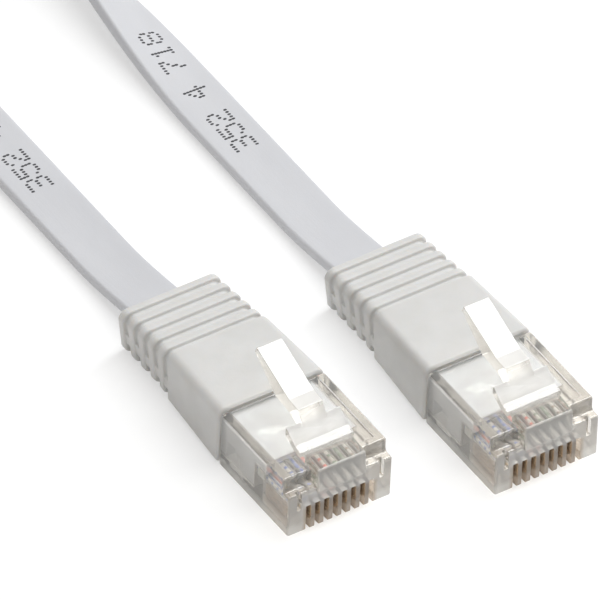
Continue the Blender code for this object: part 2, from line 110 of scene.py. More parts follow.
GROOVE_LOW = 2.9
CRIMP_HALF_WIDTH = 3.4
CRIMP_START = 9.0
CRIMP_END = 11.5
CLEAR_SHARP_ANGLE = 40.0

# Where the clear plastic's looks change, each from full to none or back
# Brown among the contacts is painted shade, standing in for the gold and dark slots seen through
CONTACT_SHADE_ACROSS = (3.9, 4.3)
CONTACT_SHADE_ALONG = (4.6, 5.6)
CONTACT_SHADE_UP = (2.7, 3.1)
FROSTED_NOSE = (0.05, 0.25)
CLOUDY_FOOT = (0.9, 1.5)
# Cloudy white on the latch's high upward faces is a painted highlight
HIGHLIGHT_LEVEL = (7.4, 8.2)
HIGHLIGHT_FACING = (0.6, 0.85)     # height of the surface normal
# Painted brown shade among the contacts
CONTACT_SHADE_TINT = (0.66, 0.57, 0.48, 1.0)
SHADOW_TINT = (0.9, 0.895, 0.88, 1.0)
DEPTH_TINT = (0.68, 0.62, 0.53, 1.0)
DEPTH_DENSITY = 120.0

# Latch
PLATE_HALF_WIDTH = 3.05
PLATE_OUTLINE = [(2.55, 6.85), (2.55, 7.36), (3.49, 7.68), (5.2, 8.8), (5.2, 7.75), (3.6, 6.9)]
LEVER_HALF_WIDTH = 1.42
LEVER_OUTLINE = [(3.3, 6.95), (3.3, 7.45), (4.6, 8.35), (5.68, 9.84), (7.22, 9.96),
                 (13.0, 12.12), (13.28, 11.4), (9.5, 8.6), (7.1, 8.4), (5.3, 7.75)]
LATCH_WEB_HALF_WIDTH = 2.6
LATCH_WEB_START = 2.26
LATCH_WEB_END = 2.68
LATCH_WEB_LOW = 6.92
LATCH_WEB_HIGH = 7.28
LATCH_WEB_STEPS = 8

# Contacts, load bar and inner mould
BLADE_THICKNESS = 0.35
BLADE_OUTLINE = [(0.95, 0.45), (0.6, 0.8), (0.6, 2.2), (0.95, 2.55), (1.75, 2.55), (2.1, 3.05),
                 (2.45, 2.55), (3.5, 2.55), (3.85, 3.05), (4.2, 2.55), (5.2, 2.55), (5.2, 0.45)]
BAR_WIDTH = 8.4
BAR_START = 5.2
BAR_END = 6.3
BAR_LOW = 2.95
BAR_HIGH = 3.9
BAR_HOLE_RADIUS = 0.37
BAR_CUT_LENGTH = 3.0
MOULD_WIDTH = 9.3
MOULD_START = 6.65
MOULD_END = 20.4
MOULD_LOW = 1.15
MOULD_HIGH = 5.3
MOULD_LIP_START = 4.75
MOULD_LIP_LOW = 4.3
FAN_WIDTH = 8.0
FAN_LOW = 2.5
FAN_HIGH = 3.95
FAN_END = 9.7
MOULD_PASSAGE = (5.0, 26.0)
NOTCH_INNER = 3.6
NOTCH_START = 9.1
NOTCH_HIGH = 3.3
LIP_OVERLAP = 1.0       # how far each lip runs on into its block or cavity

# Boot
BOOT_START = 12.1
SLEEVE_END = 21.65
BOOT_END = 30.3
RIB_COUNT = 5
RIB_LENGTH = 0.86
RIB_DEPTH = 0.42
RIB_LEAN = 0.1
HALF_WIDTH_FRONT = 6.02
HALF_WIDTH_SLEEVE = 5.65
HALF_WIDTH_REAR = 5.6
TOP_FRONT = 6.75
TOP_SLEEVE = 6.5
TOP_FIRST_RIB = 6.3
TOP_REAR = 5.2
BOTTOM_SLEEVE = 0.3
BOTTOM_REAR = 0.08
CORNER_TOP = 0.95
CORNER_BOTTOM = 0.6
RIB_CORNER_TOP = 0.95
RIB_CORNER_BOTTOM = 0.9
RIB_DRAFT = 0.45
RIB_FILLET = 0.28
RIB_FILLET_STEPS = 5
BOOT_LIP = 0.25
BOOT_PASSAGE = (8.0, 36.0)
WEB_LOW = 1.5
WEB_HIGH = 2.7
WEB_FADE = 0.25
WEB_INSET = 0.14
WEB_REACH = 0.3         # how far in from the side a point still counts as the side
DRAFT_REACH = 3.0
CORNER_STEPS = 8
SIDE_STEPS = 28
SOCKET_GAP = 0.06
SOCKET_START = 1.0      # how far in front of the boot the socket's cutter starts
BOOT_SHARP_ANGLE = 45.0

# Cable
JACKET_WIDTH = 5.9
JACKET_THICKNESS = 1.2
JACKET_WALL = 0.25
JACKET_CORNER = 0.35
JACKET_CORNER_STEPS = 6
JACKET_FLAT_STEPS = 12
JACKET_START = 9.9
PASSAGE_GAP = 0.12
PASSAGE_STEPS = 40
TUBE_SHARP_ANGLE = 50.0
WIRE_PITCH = 0.64
WIRE_RADIUS = 0.3
WIRE_WALL = 0.12
CORE_RADIUS = 0.12
WIRE_FRONT = 1.5
WIRE_LEVEL = 3.4
WIRE_SIDES = 14
WIRE_FAN = (6.7, 9.3)   # where the wires draw together, from the bar to the jacket
WIRE_FAN_STEPS = 14
CORE_SIDES = 8
CORE_INSET = 0.12       # how far each core's end sits inside its insulation
PLUG_LEVEL = 3.0
TABLE_LEVEL = 0.9
SLOPE = (22.0, 42.0)
TWIST_START = {"a": 62.0, "b": 57.2}
TWIST_END = {"a": 100.0, "b": 105.2}
STATION_STEP = 0.6

# Print on the jacket: dots in a five by seven grid
DIGITS = {
    "1": ("..#..", ".##..", "..#..", "..#..", "..#..", "..#..", ".###."),
    "2": (".###.", "#...#", "....#", "..##.", ".#...", "#....", "#####"),
    "3": ("####.", "....#", "....#", ".###.", "....#", "....#", "####."),
    "4": ("...#.", "..##.", ".#.#.", "#..#.", "#####", "...#.", "...#."),
    "5": ("#####", "#....", "####.", "....#", "....#", "#...#", ".###."),
    "7": ("#####", "....#", "...#.", "..#..", "..#..", ".#...", ".#..."),
    "8": (".###.", "#...#", "#...#", ".###.", "#...#", "#...#", ".###."),
}
PRINT_TEXT = "352 4 718      "
PRINT_START = 53.0
PRINT_PITCH = 2.1
PRINT_REPEATS = 2
DOT_ROW_PITCH = 0.365
DOT_COLUMN_PITCH = 0.37
DOT_HALF_ACROSS = 0.19
DOT_HALF_ALONG = 0.12
DOT_UNEVENNESS = 0.02
DOT_DOME = ((1.0, 0.002), (0.8, 0.012), (0.4, 0.016))   # (share of the width, height)
DOT_SIDES = 12
PRINT_SEED = 7

# Studio
FLOOR_SIZE = 8.0
FLOOR_DROP = 0.0001
KEY_DIRECTION = (0.42, 0.03, 0.88)
KEY_DISTANCE = 0.9
KEY_WIDTH = 0.36
KEY_LENGTH = 1.4
KEY_RADIANCE = 6.1
KEY_COLOUR = (0.965, 0.985, 1.0)
SKY_COLOUR = (1.0, 0.96, 0.91, 1.0)
SKY_STRENGTH = 0.34
SKY_SEEN_THROUGH = 0.66
SKY_SEEN = 1.12
CAMERA_AZIMUTH = -34.861
CAMERA_ELEVATION = 42.163
CAMERA_ROLL = -2.739
CAMERA_DISTANCE = 2400.0
CAMERA_LENS = 1523.26
CAMERA_AIM = (-3.71, 20.464)    # right and up of plug a's nose


def mount_place(name):
    places = {mount["name"]: mount["pos_m"] for mount in frame["record"]["mounts"]}
    return Vector(places[name]) / MM


def plug_origin(plug):
    """Middle of the nose's bottom edge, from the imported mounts."""
    under = mount_place(f"plug_{plug}_underside")
    nose = mount_place(f"plug_{plug}_nose")
    return Vector((under.x, nose.y, 0.0))


ORIGINS = {plug: plug_origin(plug) for plug in PLUGS}
LOOP_RADIUS = (ORIGINS["b"].x - ORIGINS["a"].x) / 2
LOOP_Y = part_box("cable_jacket")[1].y / MM - LOOP_RADIUS - JACKET_THICKNESS / 2


def mix(first, second, share):
    return first + (second - first) * share


def smoothstep(low, high, value):
    share = min(max((value - low) / (high - low), 0.0), 1.0)
    return share * share * (3.0 - 2.0 * share)


def lane(number, pitch):
    """Sideways place of wire or contact 1 to 8, counted from -X."""
    return (number - (CONTACT_COUNT + 1) / 2) * pitch


# ---- materials -----------------------------------------------------------------

class Shader:
    """A material and short ways to add nodes to it."""

    def __init__(self, name):
        self.material = bpy.data.materials.new(name)
        self.material.use_nodes = True
        self.tree = self.material.node_tree
        self.surface = self.tree.nodes["Principled BSDF"]
        self.output = self.tree.nodes["Material Output"]
        self.place = self.node("ShaderNodeTexCoord").outputs["Object"]

    def node(self, kind, **settings):
        made = self.tree.nodes.new(kind)
        for name, value in settings.items():
            setattr(made, name, value)
        return made

    def join(self, source, target):
        self.tree.links.new(source, target)

    def set(self, **values):
        for name, value in values.items():
            self.surface.inputs[name.replace("_", " ")].default_value = value

    def maths(self, operation, first, second):
        """Sum, product or the like of two sockets."""
        made = self.node("ShaderNodeMath", operation=operation)
        self.join(first, made.inputs[0])
        self.join(second, made.inputs[1])
        return made.outputs[0]

    def stretched(self, scale):
        made = self.node("ShaderNodeMapping")
        made.inputs["Scale"].default_value = scale
        self.join(self.place, made.inputs["Vector"])
        return made.outputs["Vector"]

    def noise(self, size, detail=3.0, stretch=(1.0, 1.0, 1.0)):
        """Noise whose features are about the given size in millimetres."""
        made = self.node("ShaderNodeTexNoise")
        made.inputs["Scale"].default_value = 1.0 / (size * MM)
        made.inputs["Detail"].default_value = detail
        self.join(self.stretched(stretch), made.inputs["Vector"])
        return made.outputs["Fac"]

    def span(self, source, reach, first, second):
        """Like ramp, over a reach in millimetres."""
        return self.ramp(source, reach[0] * MM, reach[1] * MM, first, second)

    def ramp(self, source, low, high, first, second):
        """Maps source between low and high to numbers between first and second."""
        made = self.node("ShaderNodeMapRange")
        for name, value in (("From Min", low), ("From Max", high), ("To Min", first), ("To Max", second)):
            made.inputs[name].default_value = value
        self.join(source, made.inputs["Value"])
        return made.outputs["Result"]

    def colours(self, source, first, second):
        made = self.node("ShaderNodeMix", data_type="RGBA")
        made.inputs["A"].default_value = (*first, 1.0)
        made.inputs["B"].default_value = (*second, 1.0)
        self.join(source, made.inputs["Factor"])
        return made.outputs["Result"]

    def bump(self, source, height):
        """Bump of the given height in millimetres, stacked on any earlier bump."""
        made = self.node("ShaderNodeBump")
        made.inputs["Strength"].default_value = 1.0
        made.inputs["Distance"].default_value = height * MM
        self.join(source, made.inputs["Height"])
        if self.surface.inputs["Normal"].is_linked:
            self.join(self.surface.inputs["Normal"].links[0].from_socket, made.inputs["Normal"])
        self.join(made.outputs["Normal"], self.surface.inputs["Normal"])


def plug_axes(shader, plug):
    """X, Y and Z of the shaded point in the plug's own frame, in metres."""
    centre = shader.node("ShaderNodeVectorMath", operation="SUBTRACT")
    shader.join(shader.place, centre.inputs[0])
    centre.inputs[1].default_value = ORIGINS[plug] * MM
    parts = shader.node("ShaderNodeSeparateXYZ")
    shader.join(centre.outputs["Vector"], parts.inputs["Vector"])
    return parts.outputs["X"], parts.outputs["Y"], parts.outputs["Z"]


def painted_contact_shade(shader, x, y, z):
    """1 among the contacts and 0 away from them: where the painted brown shade goes, standing in for the gold
    and dark slots seen through the plastic.
    """
    sideways = shader.node("ShaderNodeMath", operation="ABSOLUTE")
    shader.join(x, sideways.inputs[0])
    across = shader.span(sideways.outputs[0], CONTACT_SHADE_ACROSS, 1.0, 0.0)
    along = shader.span(y, CONTACT_SHADE_ALONG, 1.0, 0.0)
    up = shader.span(z, CONTACT_SHADE_UP, 1.0, 0.0)
    return shader.maths("MULTIPLY", shader.maths("MULTIPLY", across, along), up)


def clearness(shader, y, z):
    """Share of light the plastic lets through: less on the nose and the foot, and on the latch's upper faces,
    whose cloudy white is a painted highlight.
    """
    haze = shader.ramp(shader.noise(1.6, 2.0), 0.3, 0.7, 0.82, 0.76)
    nose = shader.span(y, FROSTED_NOSE, 0.8, 1.0)
    foot = shader.span(z, CLOUDY_FOOT, 0.72, 1.0)
    facing = shader.node("ShaderNodeSeparateXYZ")
    shader.join(shader.node("ShaderNodeNewGeometry").outputs["Normal"], facing.inputs[0])
    # Painted highlight: the latch's high, upward faces turn cloudy white
    high = shader.span(z, HIGHLIGHT_LEVEL, 1.0, 0.3)
    upward = shader.ramp(facing.outputs["Z"], *HIGHLIGHT_FACING, 1.0, 0.3)
    frosted = shader.maths("MULTIPLY", shader.maths("MULTIPLY", haze, nose), foot)
    return shader.maths("MULTIPLY", frosted, shader.maths("MAXIMUM", high, upward))


def clear_to_shadows(shader):
    """Shadow rays pass almost freely, so the plastic casts a light shadow."""
    light = shader.node("ShaderNodeLightPath")
    passing = shader.node("ShaderNodeBsdfTransparent")
    passing.inputs["Color"].default_value = SHADOW_TINT
    either = shader.node("ShaderNodeMixShader")
    shader.join(light.outputs["Is Shadow Ray"], either.inputs["Fac"])
    shader.join(shader.surface.outputs["BSDF"], either.inputs[1])
    shader.join(passing.outputs["BSDF"], either.inputs[2])
    shader.join(either.outputs["Shader"], shader.output.inputs["Surface"])


def clear_plastic(plug):
    """Polycarbonate: clear, with painted brown shade among the contacts for the gold and dark slots seen
    through, and with fine rubbing marks.
    """
    shader = Shader(f"clear_polycarbonate_{plug}")
    shader.set(IOR=1.5, Specular_IOR_Level=1.0)
    x, y, z = plug_axes(shader, plug)
    cloud = shader.noise(2.5, 2.0)
    tint = shader.colours(shader.ramp(cloud, 0.3, 0.7, 0.0, 1.0),
                          (0.88, 0.87, 0.85), (0.93, 0.925, 0.91))
    # Painted shade: brown mixed into the tint among the contacts
    contact_shaded = shader.node("ShaderNodeMix", data_type="RGBA")
    shader.join(painted_contact_shade(shader, x, y, z), contact_shaded.inputs["Factor"])
    shader.join(tint, contact_shaded.inputs["A"])
    contact_shaded.inputs["B"].default_value = CONTACT_SHADE_TINT
    shader.join(contact_shaded.outputs["Result"], shader.surface.inputs["Base Color"])
    shader.join(clearness(shader, y, z), shader.surface.inputs["Transmission Weight"])
    rubbing = shader.noise(0.35, 4.0, (1.0, 3.0, 1.0))
    shader.join(shader.ramp(rubbing, 0.35, 0.8, 0.03, 0.13), shader.surface.inputs["Roughness"])
    shader.bump(shader.noise(1.6, 2.0), 0.02)
    clear_to_shadows(shader)
    depth_tint = shader.node("ShaderNodeVolumeAbsorption")
    depth_tint.inputs["Color"].default_value = DEPTH_TINT
    depth_tint.inputs["Density"].default_value = DEPTH_DENSITY
    shader.join(depth_tint.outputs["Volume"], shader.output.inputs["Volume"])
    return shader.material


def soft_plastic(name, dark, light, roughness, glow=0.0):
    """Moulded PVC: slight clouding, uneven sheen and a fine grain."""
    shader = Shader(name)
    cloud = shader.noise(3.0, 3.0)
    shader.join(shader.colours(shader.ramp(cloud, 0.3, 0.7, 0.0, 1.0), dark, light),
                shader.surface.inputs["Base Color"])
    grain = shader.noise(0.16, 3.0)
    shader.join(shader.ramp(grain, 0.3, 0.7, roughness - 0.06, roughness + 0.08),
                shader.surface.inputs["Roughness"])
    shader.set(IOR=1.5, Specular_IOR_Level=0.4, Subsurface_Weight=glow)
    shader.set(Subsurface_Radius=(1.0, 0.8, 0.6), Subsurface_Scale=0.6 * MM)
    shader.bump(grain, 0.012)
    shader.bump(shader.noise(1.8, 2.0), 0.03)
    return shader.material


def jacket_plastic():
    """Extruded PVC: faint lines along the cable on top of a fine grain."""
    shader = Shader("jacket_pvc")
    cloud = shader.noise(6.0, 3.0, (1.0, 0.3, 1.0))
    shader.join(shader.colours(shader.ramp(cloud, 0.3, 0.7, 0.0, 1.0),
                               (0.588, 0.592, 0.618), (0.633, 0.637, 0.662)),
                shader.surface.inputs["Base Color"])
    lines = shader.noise(0.22, 2.0, (1.0, 0.06, 1.0))
    shader.join(shader.ramp(lines, 0.3, 0.7, 0.34, 0.46), shader.surface.inputs["Roughness"])
    shader.set(IOR=1.5, Specular_IOR_Level=0.45, Subsurface_Weight=0.1)
    shader.set(Subsurface_Radius=(1.0, 0.9, 0.8), Subsurface_Scale=0.5 * MM)
    shader.bump(lines, 0.006)
    shader.bump(shader.noise(0.14, 3.0), 0.008)
    shader.bump(shader.noise(4.0, 1.0), 0.04)
    return shader.material


def insulation(number, base, stripe):
    """Thin wire insulation: glossy, with a coloured band every few millimetres on white wires."""
    shader = Shader(f"insulation_{number}")
    bands = shader.node("ShaderNodeTexWave", bands_direction="Y")
    bands.inputs["Scale"].default_value = 0.36 / MM
    bands.inputs["Distortion"].default_value = 1.5
    shader.join(shader.place, bands.inputs["Vector"])
    share = shader.ramp(bands.outputs["Fac"], 0.72, 0.78, 0.0, 1.0)
    shader.join(shader.colours(share, base, stripe), shader.surface.inputs["Base Color"])
    fine = shader.noise(0.2, 2.0)
    shader.join(shader.ramp(fine, 0.3, 0.7, 0.28, 0.42), shader.surface.inputs["Roughness"])
    shader.bump(fine, 0.006)
    return shader.material


def metal(name, dark, light, roughness, stretch):
    """Plated or drawn metal: fine brushing along one direction and slight tarnish."""
    shader = Shader(name)
    shader.set(Metallic=1.0)
    tarnish = shader.noise(0.9, 3.0)
    shader.join(shader.colours(shader.ramp(tarnish, 0.35, 0.7, 0.0, 1.0), light, dark),
                shader.surface.inputs["Base Color"])
    brushing = shader.noise(0.08, 3.0, stretch)
    shader.join(shader.ramp(brushing, 0.3, 0.7, roughness, roughness + 0.15),
                shader.surface.inputs["Roughness"])
    shader.bump(brushing, 0.004)
    return shader.material


def ink():
    """Dark ink whose dots are a little uneven."""
    shader = Shader("print_ink")
    patch = shader.noise(0.12, 2.0)
    shader.join(shader.colours(shader.ramp(patch, 0.35, 0.75, 0.0, 1.0),
                               (0.03, 0.03, 0.034), (0.1, 0.1, 0.11)),
                shader.surface.inputs["Base Color"])
    shader.join(shader.ramp(patch, 0.3, 0.7, 0.45, 0.6), shader.surface.inputs["Roughness"])
    return shader.material


CLEAR = {plug: clear_plastic(plug) for plug in PLUGS}
BOOT_PVC = soft_plastic("boot_pvc", (0.64, 0.635, 0.62), (0.685, 0.68, 0.67), 0.46, glow=0.3)
MOULD_WHITE = soft_plastic("mould_white", (0.56, 0.58, 0.62), (0.63, 0.655, 0.7), 0.38, glow=0.1)
BAR_MILKY = soft_plastic("bar_milky", (0.62, 0.62, 0.58), (0.72, 0.72, 0.68), 0.3, glow=0.3)
JACKET_PVC = jacket_plastic()
GOLD = metal("contact_gold", (0.42, 0.3, 0.17), (0.68, 0.52, 0.32), 0.2, (1.0, 0.15, 1.0))
COPPER = metal("core_copper", (0.5, 0.24, 0.13), (0.78, 0.42, 0.26), 0.22, (1.0, 0.2, 1.0))
INK = ink()
WHITE = (0.78, 0.78, 0.76)
SOLID_WIRES = (2, 3, 6, 8)
PAIR_COLOURS = ((0.03, 0.11, 0.52), (0.86, 0.12, 0.07), (0.2, 0.3, 0.2), (0.3, 0.22, 0.17))


def wire_material(number):
    """One wire of each pair is the solid colour, the other is white with bands of it."""
    colour = PAIR_COLOURS[(number - 1) // 2]
    if number not in SOLID_WIRES:
        return insulation(number, WHITE, colour)
    pale = tuple(mix(part, 1.0, 0.25) for part in colour)
    return insulation(number, colour, pale)


WIRE_MATERIALS = {number: wire_material(number) for number in range(1, CONTACT_COUNT + 1)}


# ---- mesh helpers --------------------------------------------------------------

def to_frame(plug):
    """Matrix from a plug's millimetres to the frame's metres."""
    return Matrix.Scale(MM, 4) @ Matrix.Translation(ORIGINS[plug])


def mesh_object(name, form, material):
    bmesh.ops.recalc_face_normals(form, faces=form.faces)
    mesh = bpy.data.meshes.new(name)
    form.to_mesh(mesh)
    form.free()
    made = bpy.data.objects.new(name, mesh)
    bpy.context.scene.collection.objects.link(made)
    if material:
        mesh.materials.append(material)
    return made


def arc_corner(before, corner, after, radius, steps):
    """Points of the fillet at one corner of an outline."""
    to_before = before - corner
    to_after = after - corner
    angle = to_before.angle(to_after)
    reach = min(radius / math.tan(angle / 2), 0.48 * to_before.length, 0.48 * to_after.length)
    start = corner + to_before.normalized() * reach
    end = corner + to_after.normalized() * reach
    points = []
    for step in range(steps + 1):
        share = step / steps
        points.append(start.lerp(corner, share).lerp(corner.lerp(end, share), share))
    return points


def rounded_outline(outline, radius, steps=3):
    """The closed outline with every corner rounded."""
    corners = [Vector(point) for point in outline]
    points = []
    for index, corner in enumerate(corners):
        after = corners[(index + 1) % len(corners)]
        points += arc_corner(corners[index - 1], corner, after, radius, steps)
    return points


def prism(name, outline, x_low, x_high, plug, material=None, edge=0.0):
    """Outline of (y, z) points extruded from x_low to x_high, with its end edges rounded."""
    form = bmesh.new()
    face = form.faces.new([form.verts.new((x_low, y, z)) for y, z in outline])
    grown = bmesh.ops.extrude_face_region(form, geom=[face])
    top = [item for item in grown["geom"] if isinstance(item, bmesh.types.BMVert)]
    bmesh.ops.translate(form, verts=top, vec=(x_high - x_low, 0.0, 0.0))
    bmesh.ops.recalc_face_normals(form, faces=form.faces)
    if edge:
        rims = [item for item in form.edges if len({round(v.co.x, 5) for v in item.verts}) == 1]
        bmesh.ops.bevel(form, geom=rims, offset=edge, segments=EDGE_SEGMENTS, profile=0.5,
                        affect="EDGES", clamp_overlap=True)
    form.transform(to_frame(plug))
    return mesh_object(name, form, material)


def box(name, low, high, plug, material=None, edge=0.0):
    """Box between two corners in a plug's millimetres, with rounded edges."""
    low = Vector(low)
    high = Vector(high)
    form = bmesh.new()
    size = Matrix.Diagonal((*(high - low), 1.0))
    bmesh.ops.create_cube(form, size=1.0, matrix=Matrix.Translation((low + high) / 2) @ size)
    if edge:
        bmesh.ops.bevel(form, geom=form.edges[:], offset=edge, segments=EDGE_SEGMENTS, profile=0.5,
                        affect="EDGES", clamp_overlap=True)
    form.transform(to_frame(plug))
    return mesh_object(name, form, material)


def rod(name, centre, radius, length, plug):
    """Round cutter along Y."""
    place = Matrix.Translation(centre) @ Matrix.Rotation(math.pi / 2, 4, "X")
    form = bmesh.new()
    bmesh.ops.create_cone(form, cap_ends=True, segments=24, radius1=radius, radius2=radius, depth=length,
                          matrix=place)
    form.transform(to_frame(plug))
    return mesh_object(name, form, None)


def settle(item):
    """Apply an object's modifiers to its mesh."""
    bpy.context.view_layer.update()
    evaluated = item.evaluated_get(bpy.context.evaluated_depsgraph_get())
    mesh = bpy.data.meshes.new_from_object(evaluated)
    old = item.data
    item.modifiers.clear()
    item.data = mesh
    mesh.name = item.name
    bpy.data.meshes.remove(old)


def combine(target, others, operation):
    """Boolean with each of the other objects, which are used up."""
    for other in others:
        step = target.modifiers.new(other.name, "BOOLEAN")
        step.operation = operation
        step.solver = "EXACT"
        step.object = other
    settle(target)
    for other in others:
        mesh = other.data
        bpy.data.objects.remove(other)
        bpy.data.meshes.remove(mesh)


def smooth(item, angle=SHARP_ANGLE):
    """Smooth shading that keeps flat faces flat and edges beyond the angle sharp."""
    item.data.shade_smooth()
    item.data.set_sharp_from_angle(angle=math.radians(angle))
    step = item.modifiers.new("flat_faces", "WEIGHTED_NORMAL")
    step.keep_sharp = True
    step.weight = 100


def finish_piece(item, body, slot, *nodes):
    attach(item, body)
    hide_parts(*nodes)


# ---- cable ---------------------------------------------------------------------

def leg_point(plug, y):
    """Middle of the jacket and its roll at a distance behind the plug's nose."""
    share = smoothstep(TWIST_START[plug], TWIST_END[plug], y)
    level = mix(mix(PLUG_LEVEL, TABLE_LEVEL, smoothstep(*SLOPE, y)), JACKET_THICKNESS / 2, share)
    roll = share * math.pi / 2
    half_width = JACKET_WIDTH / 2 - JACKET_CORNER
    half_thickness = JACKET_THICKNESS / 2 - JACKET_CORNER
    rise = half_width * math.sin(roll) + half_thickness * (math.cos(roll) - 1.0)
    return Vector((0.0, y, level + rise)), roll


def half_path(plug, start):
    """Points and rolls from a distance behind the nose to the middle of the loop."""
    loop_start = LOOP_Y - ORIGINS[plug].y
    leg_steps = round((loop_start - start) / STATION_STEP)
    stations = [leg_point(plug, mix(start, loop_start, step / leg_steps)) for step in range(leg_steps)]
    side = 1.0 if plug == "a" else -1.0
    loop_steps = round(LOOP_RADIUS * math.pi / 2 / STATION_STEP)
    for step in range(loop_steps + 1):
        angle = math.pi / 2 * step / loop_steps
        point = Vector((side * LOOP_RADIUS * (1.0 - math.cos(angle)),
                        loop_start + LOOP_RADIUS * math.sin(angle), JACKET_WIDTH / 2))
        stations.append((point, math.pi / 2))
    return stations


def path_axes(stations, plug):
    """(point, side, normal) at every station; side points to the pin 8 edge."""
    axes = []
    points = [point for point, _ in stations]
    side_of_loop = 1.0 if plug == "a" else -1.0
    for index, (point, roll) in enumerate(stations):
        before = points[max(index - 1, 0)]
        after = points[min(index + 1, len(points) - 1)]
        heading = (after - before).normalized()
        if index == len(points) - 1:
            heading = Vector((side_of_loop, 0.0, 0.0))
        level_side = heading.cross(Vector((0.0, 0.0, 1.0))).normalized()
        side = Matrix.Rotation(roll, 3, heading) @ level_side
        axes.append((point, side, side.cross(heading)))
    return axes


def jacket_section(grow):
    """Flat rounded section, (across, up) pairs, larger all round by grow."""
    radius = JACKET_CORNER + grow
    straight = JACKET_WIDTH / 2 - JACKET_CORNER
    rise = JACKET_THICKNESS / 2 - JACKET_CORNER
    section = []
    for side in (1, -1):
        for middle, start in ((rise, 90.0), (-rise, 0.0)):
            for step in range(JACKET_CORNER_STEPS + 1):
                angle = math.radians(start - 90.0 * step / JACKET_CORNER_STEPS)
                section.append((side * (straight + radius * math.cos(angle)),
                                side * (middle + radius * math.sin(angle))))
        for step in range(1, JACKET_FLAT_STEPS):
            across = mix(straight, -straight, step / JACKET_FLAT_STEPS)
            section.append((side * across, -side * (rise + radius)))
    return section


def circle_section(radius, sides):
    turns = [2 * math.pi * step / sides for step in range(sides)]
    return [(radius * math.cos(turn), radius * math.sin(turn)) for turn in turns]


def add_ring(form, axes, section, offset=0.0):
    point, side, normal = axes
    return [form.verts.new(point + side * (offset + across) + normal * up) for across, up in section]


def bridge(form, first, second):
    for index in range(len(first)):
        after = (index + 1) % len(first)
        form.faces.new((first[index], first[after], second[after], second[index]))


def tube(name, axes, outer, inner, plug, material, offset=0.0):
    """Sweep of an outer section with an inner section as its bore, or capped if inner is None."""
    form = bmesh.new()
    skins = []
    for section in (outer, inner):
        if section:
            rings = [add_ring(form, station, section, offset) for station in axes]
            for first, second in zip(rings, rings[1:]):
                bridge(form, first, second)
            skins.append(rings)
    if inner:
        bridge(form, skins[0][0], skins[1][0])
        bridge(form, skins[0][-1], skins[1][-1])
    else:
        form.faces.new(skins[0][0])
        form.faces.new(skins[0][-1])
    form.transform(to_frame(plug))
    made = mesh_object(name, form, material)
    made.data.shade_smooth()
    made.data.set_sharp_from_angle(angle=math.radians(TUBE_SHARP_ANGLE))
    return made


def bend_with_leg(item):
    """Bakes the piece's transform into its mesh."""
    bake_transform(item)


def jacket(plug):
    axes = path_axes(half_path(plug, JACKET_START), plug)
    made = tube(f"jacket_{plug}", axes, jacket_section(0.0), jacket_section(-JACKET_WALL), plug,
                JACKET_PVC)
    bend_with_leg(made)
    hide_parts("cable_jacket")


def conductor_axes(plug, number, front):
    """Stations from the cut end over the contact, through the fan, along the jacket."""
    wide = lane(number, CONTACT_PITCH)
    narrow = lane(number, WIRE_PITCH)
    upright = (Vector((1.0, 0.0, 0.0)), Vector((0.0, 0.0, 1.0)))
    axes = [(Vector((wide, front, WIRE_LEVEL)), *upright)]
    for step in range(WIRE_FAN_STEPS + 1):
        share = step / WIRE_FAN_STEPS
        ease = smoothstep(0.0, 1.0, share)
        point = Vector((mix(wide, narrow, ease), mix(*WIRE_FAN, share), mix(WIRE_LEVEL, PLUG_LEVEL, ease)))
        axes.append((point, *upright))
    for point, side, normal in path_axes(half_path(plug, JACKET_START), plug):
        axes.append((point + side * narrow, side, normal))
    return axes


def conductors(plug):
    for number in range(1, CONTACT_COUNT + 1):
        insulated = tube(f"wire_{number}_{plug}", conductor_axes(plug, number, WIRE_FRONT),
                         circle_section(WIRE_RADIUS, WIRE_SIDES),
                         circle_section(WIRE_RADIUS - WIRE_WALL, WIRE_SIDES), plug, WIRE_MATERIALS[number])
        bare = tube(f"core_{number}_{plug}", conductor_axes(plug, number, WIRE_FRONT + CORE_INSET),
                    circle_section(CORE_RADIUS, CORE_SIDES), None, plug, COPPER)
        for item, slot, node in ((insulated, f"insulation_{number}", f"wire_{number}"),
                                 (bare, "core_copper", f"core_{number}")):
            bend_with_leg(item)
            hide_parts(node)


# ---- print on the jacket -------------------------------------------------------

def print_dots():
    """(distance behind the nose, place across) of each dot of the repeated print."""
    dots = []
    for index in range(PRINT_REPEATS * len(PRINT_TEXT)):
        glyph = DIGITS.get(PRINT_TEXT[index % len(PRINT_TEXT)])
        if glyph is None:
            continue
        for row, cells in enumerate(glyph):
            for column, cell in enumerate(cells):
                if cell == "#":
                    along = PRINT_START + index * PRINT_PITCH + (column - 2) * DOT_COLUMN_PITCH
                    dots.append((along, (row - 3) * DOT_ROW_PITCH))
    return dots


def travelled(axes):
    """Distance along the path to each station, starting from the first one's y."""
    total = axes[0][0].y
    distances = [total]
    for (before, *_), (after, *_) in zip(axes, axes[1:]):
        total += (after - before).length
        distances.append(total)
    return distances


def station_at(axes, distances, distance):
    index = min(max(int(np.searchsorted(distances, distance)), 1), len(axes) - 1)
    low, high = distances[index - 1], distances[index]
    share = min(max((distance - low) / (high - low), 0.0), 1.0)
    return tuple(first.lerp(second, share) for first, second in zip(axes[index - 1], axes[index]))


def add_dot(form, centre, side, heading, normal, rng):
    """Domed ink dot, longer across the cable than along it."""
    half_across = DOT_HALF_ACROSS + DOT_UNEVENNESS * rng.random()
    half_along = DOT_HALF_ALONG + DOT_UNEVENNESS * rng.random()
    rings = []
    for share, height in DOT_DOME:
        ring = []
        for step in range(DOT_SIDES):
            turn = 2 * math.pi * step / DOT_SIDES
            across = side * (half_across * share * math.cos(turn))
            along = heading * (half_along * share * math.sin(turn))
            ring.append(form.verts.new(centre + across + along + normal * height))
        rings.append(ring)
    bridge(form, rings[0], rings[1])
    bridge(form, rings[1], rings[2])
    form.faces.new(rings[2])
    form.faces.new(list(reversed(rings[0])))


